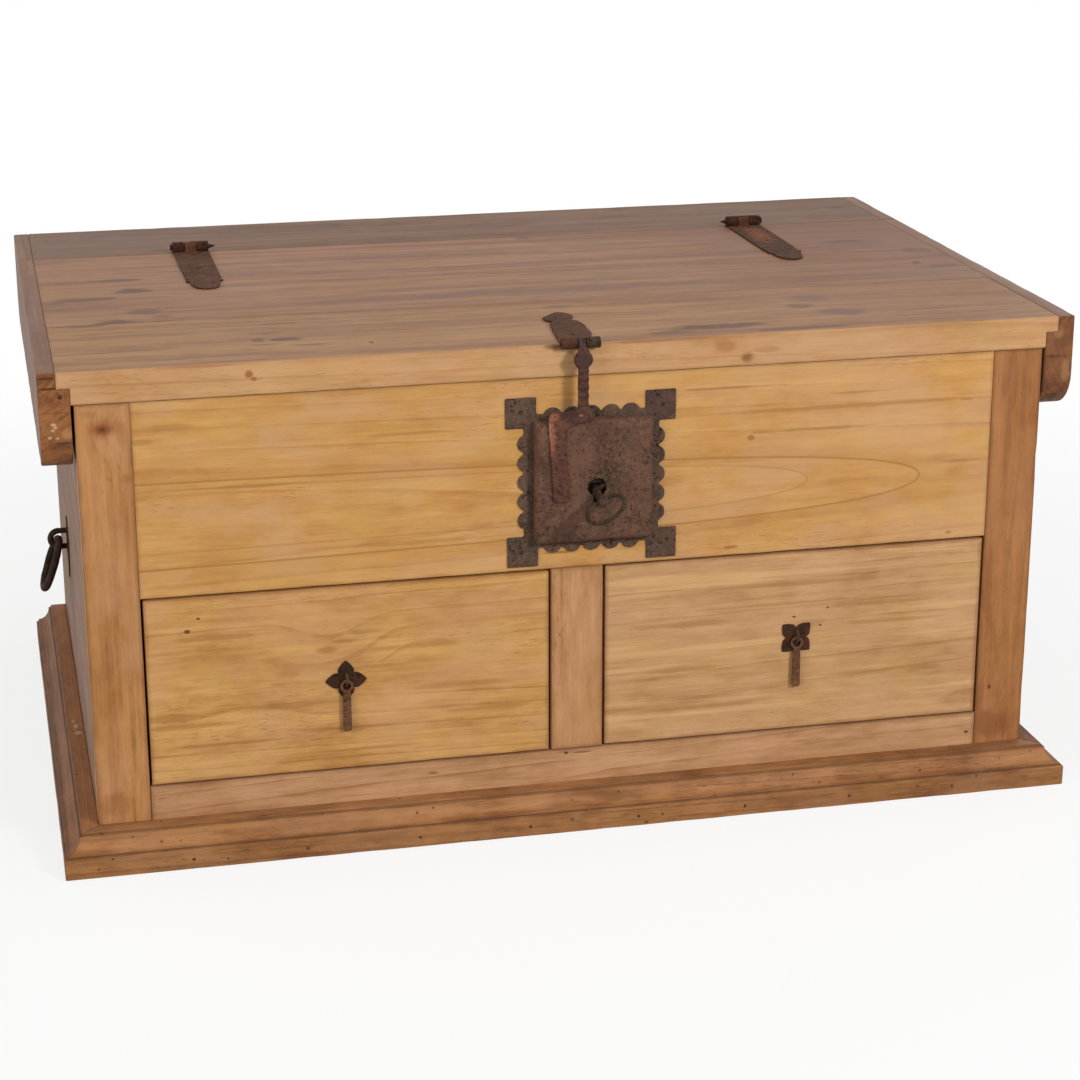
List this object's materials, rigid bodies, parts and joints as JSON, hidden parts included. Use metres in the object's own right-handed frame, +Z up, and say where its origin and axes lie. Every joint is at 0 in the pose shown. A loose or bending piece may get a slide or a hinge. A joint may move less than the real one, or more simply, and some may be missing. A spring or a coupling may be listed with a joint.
{
  "type": "mule chest",
  "caption": "Low rustic pine chest with a hinged lid over a storage space, drawers below, a moulded plinth and hand-forged iron lock, hasp, hinges, pulls and ring handles.",
  "frame": {"origin": "on the floor, under the middle of the whole outline, from the tip of the key to the back of the case", "axes": "+Z up, -Y out of the front with the lock and drawers, +X to the right as seen from the front"},
  "size_m": [1.0314, 0.7331, 0.5086],
  "materials": {
    "front_pine": "waxed, satin",
    "post_pine": "waxed, satin",
    "side_pine": "waxed, satin",
    "top_pine": "waxed, worn",
    "cleat_pine": "waxed, worn",
    "plinth_pine": "waxed, satin",
    "inside_pine": "bare planed wood",
    "lock_iron": "pitted brown rust",
    "hinge_iron": "reddish rust",
    "pull_iron": "dark rust"
  },
  "bodies": {
    "root": {"front_left_post": "post_pine", "front_right_post": "post_pine", "upper_front_board": "front_pine", "centre_stile": "post_pine", "bottom_rail": "post_pine", "left_side_panel": "side_pine", "right_side_panel": "side_pine", "back_panel": "side_pine", "compartment_floor": "inside_pine", "bottom_board": "inside_pine", "side_runners": "inside_pine", "centre_runner": "inside_pine", "side_guides": "inside_pine", "centre_guide": "inside_pine", "plinth_front": "plinth_pine", "plinth_left": "plinth_pine", "plinth_right": "plinth_pine", "plinth_nails": "hinge_iron", "rear_rail": "top_pine", "rail_left_end": "cleat_pine", "rail_right_end": "cleat_pine", "hinge_fixed_leaves": "hinge_iron", "hinge_pins": "hinge_iron", "lock_plate": "lock_iron", "lock_box": "lock_iron", "case_nails": "lock_iron", "bolt_guides": "lock_iron", "handle_plates": "pull_iron", "handle_staples": "pull_iron"},
    "lid": {"lid_front_board": "top_pine", "lid_middle_board": "top_pine", "lid_rear_board": "top_pine", "lid_left_cleat": "cleat_pine", "lid_right_cleat": "cleat_pine", "left_strap": "hinge_iron", "right_strap": "hinge_iron", "lid_nails": "hinge_iron", "hasp_leaf": "hinge_iron", "hasp_pin": "hinge_iron"},
    "hasp": {"hasp_arm": "hinge_iron"},
    "bolt": {"lock_bolt": "lock_iron"},
    "key": {"key": "lock_iron"},
    "left_drawer": {"left_drawer_front": "front_pine", "left_drawer_left_side": "inside_pine", "left_drawer_right_side": "inside_pine", "left_drawer_back": "inside_pine", "left_drawer_bottom": "inside_pine", "left_pull_plate": "pull_iron", "left_pull_cotter": "pull_iron"},
    "left_drop": {"left_pull_drop": "pull_iron"},
    "left_ring": {"left_ring": "pull_iron"},
    "right_drawer": {"right_drawer_front": "front_pine", "right_drawer_left_side": "inside_pine", "right_drawer_right_side": "inside_pine", "right_drawer_back": "inside_pine", "right_drawer_bottom": "inside_pine", "right_pull_plate": "pull_iron", "right_pull_cotter": "pull_iron"},
    "right_drop": {"right_pull_drop": "pull_iron"},
    "right_ring": {"right_ring": "pull_iron"}
  },
  "joints": [
    {"name": "lid_hinge", "type": "hinge", "parent": "root", "child": "lid", "pos_m": [0, 0.2185, 0.5023], "axis": [-1, 0, 0], "range_deg": [0, 105]},
    {"name": "hasp_hinge", "type": "hinge", "parent": "lid", "child": "hasp", "pos_m": [0.0015, -0.3015, 0.4982], "axis": [-1, 0, 0], "range_deg": [0, 190]},
    {"name": "key_turn", "type": "hinge", "parent": "root", "child": "key", "pos_m": [0.0162, -0.3095, 0.3493], "axis": [0, -0.9848, -0.1736], "range_deg": [0, 120]},
    {"name": "bolt_throw", "type": "slide", "parent": "root", "child": "bolt", "axis": [-1, 0, 0], "range_m": [0, 0.022]},
    {"name": "left_drawer_slide", "type": "slide", "parent": "root", "child": "left_drawer", "axis": [0, -1, 0], "range_m": [0, 0.45]},
    {"name": "left_drop_swing", "type": "hinge", "parent": "left_drawer", "child": "left_drop", "pos_m": [-0.23297, -0.2974, 0.1699], "axis": [-1, 0, 0], "range_deg": [0, 120]},
    {"name": "right_drawer_slide", "type": "slide", "parent": "root", "child": "right_drawer", "axis": [0, -1, 0], "range_m": [0, 0.45]},
    {"name": "right_drop_swing", "type": "hinge", "parent": "right_drawer", "child": "right_drop", "pos_m": [0.22898, -0.2974, 0.1759], "axis": [-1, 0, 0], "range_deg": [0, 120]},
    {"name": "left_ring_swing", "type": "hinge", "parent": "root", "child": "left_ring", "pos_m": [-0.49, 0.1045, 0.2062], "axis": [0, 1, 0], "range_deg": [-24, 110]},
    {"name": "right_ring_swing", "type": "hinge", "parent": "root", "child": "right_ring", "pos_m": [0.49, 0.1045, 0.2062], "axis": [0, -1, 0], "range_deg": [-24, 110]}
  ],
  "couplings": [
    {"joint": "bolt_throw", "follows": "key_turn", "m_per_rad": 0.010504}
  ]
}
